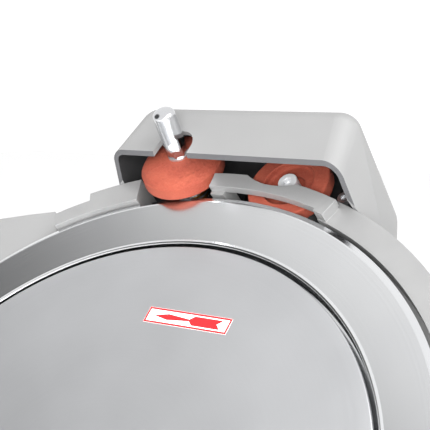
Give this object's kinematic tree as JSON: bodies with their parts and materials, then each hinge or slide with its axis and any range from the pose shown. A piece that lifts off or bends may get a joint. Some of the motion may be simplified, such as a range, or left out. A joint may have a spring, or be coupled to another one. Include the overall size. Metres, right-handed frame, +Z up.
{
  "type": "slicer knife head with sharpener",
  "caption": "Tilted knife head of a gravity-feed slicer with its built-in two-stone sharpener under a cast hood, ring guard, gauge plate and bolt-down foot.",
  "frame": {"origin": "centre of the foot's lower face, between its four bolt holes", "axes": "+Z up; the knife faces -Y and is tilted back by 45 degrees; +X to the right as seen from the knife's face"},
  "size_m": [0.4136, 0.2766, 0.312],
  "materials": {
    "cast_silver": "silver-grey powder coat over cast aluminium",
    "dark_cast": "dark grey coat over cast aluminium",
    "knife_steel": "finely ground, circular",
    "cover_metal": "satin anodised",
    "machined_steel": "turned",
    "machined_aluminium": "machined",
    "zinc_fastener": "bright zinc",
    "chromed_knob": "turned and chromed",
    "spring_steel": "drawn wire",
    "bronze": "bearing bronze",
    "corundum": "fine-grained aluminium oxide, orange red",
    "black_knob": "moulded phenolic"
  },
  "bodies": {
    "head": {"head_casting": "cast_silver", "knife_spindle": "machined_steel", "spindle_nut": "machined_steel", "ring_guard": "cast_silver", "ring_screws": "zinc_fastener"},
    "knife_rotor": {"knife": "knife_steel", "knife_hub": "machined_steel", "knife_screws": "zinc_fastener", "knife_bearings": "machined_steel", "bearing_spacer": "machined_steel", "knife_pulley": "machined_aluminium", "pulley_screws": "zinc_fastener"},
    "cover": {"knife_cover": "cover_metal"},
    "cover_lock": {"cover_tie_rod": "machined_steel", "cover_knob": "black_knob"},
    "gauge": {"gauge_plate": "cover_metal", "gauge_arm": "machined_aluminium", "gauge_rods": "machined_steel", "gauge_screws": "zinc_fastener"},
    "sharpener": {"hood": "cast_silver", "hood_screws": "zinc_fastener", "arm_screw": "zinc_fastener", "sharpener_bracket": "dark_cast", "sharpener_post": "machined_steel", "grinding_spring": "spring_steel", "deburring_spring": "spring_steel"},
    "sharpener_lock": {"lock_screw": "machined_steel", "lock_knob": "black_knob"},
    "grinding_slide": {"grinding_sleeve": "bronze", "grinding_circlip": "spring_steel"},
    "grinding_wheel": {"grinding_stone": "corundum", "grinding_spindle": "machined_steel", "grinding_washer": "zinc_fastener", "grinding_nut": "zinc_fastener", "push_knob": "chromed_knob", "knob_set_screw": "zinc_fastener"},
    "deburring_slide": {"deburring_sleeve": "bronze", "deburring_circlip": "spring_steel"},
    "deburring_wheel": {"deburring_stone": "corundum", "deburring_spindle": "machined_steel", "deburring_bolt": "zinc_fastener", "deburring_button": "black_knob"}
  },
  "joints": [
    {"name": "knife_spin", "type": "hinge", "parent": "head", "child": "knife_rotor", "pos_m": [0, -0.012, 0.165], "axis": [0, -0.7071, 0.7071], "continuous": true},
    {"name": "cover_lift_off", "type": "slide", "parent": "head", "child": "cover", "axis": [0, -0.7071, 0.7071], "range_m": [0, 0.03]},
    {"name": "cover_knob_turn", "type": "hinge", "parent": "head", "child": "cover_lock", "pos_m": [0, -0.012, 0.165], "axis": [0, -0.7071, 0.7071], "range_deg": [0, 720]},
    {"name": "gauge_slide", "type": "slide", "parent": "head", "child": "gauge", "axis": [0, -0.7071, 0.7071], "range_m": [-0.01, 0.0045]},
    {"name": "sharpener_lift", "type": "slide", "parent": "head", "child": "sharpener", "axis": [0, 0.7071, 0.7071], "range_m": [0, 0.025]},
    {"name": "lock_knob_turn", "type": "hinge", "parent": "head", "child": "sharpener_lock", "pos_m": [0, 0.06932, 0.24632], "axis": [0, -0.7071, 0.7071], "range_deg": [0, 360]},
    {"name": "grinding_push", "type": "slide", "parent": "sharpener", "child": "grinding_slide", "axis": [-0.0876, 0.5737, -0.8144], "range_m": [0, 0.0012], "stiffness_N_per_m": 1500, "springref_m": -0.003, "deforming": ["grinding_spring"]},
    {"name": "grinding_spin", "type": "hinge", "parent": "grinding_slide", "child": "grinding_wheel", "pos_m": [-0.0312, 0.1034, 0.2804], "axis": [0.0876, -0.5737, 0.8144], "continuous": true},
    {"name": "deburring_push", "type": "slide", "parent": "sharpener", "child": "deburring_slide", "axis": [0, -0.7071, 0.7071], "range_m": [0, 0.0006], "stiffness_N_per_m": 1500, "springref_m": -0.003, "deforming": ["deburring_spring"]},
    {"name": "deburring_spin", "type": "hinge", "parent": "deburring_slide", "child": "deburring_wheel", "pos_m": [0.0251, 0.10411, 0.27927], "axis": [0, -0.7071, 0.7071], "continuous": true}
  ]
}
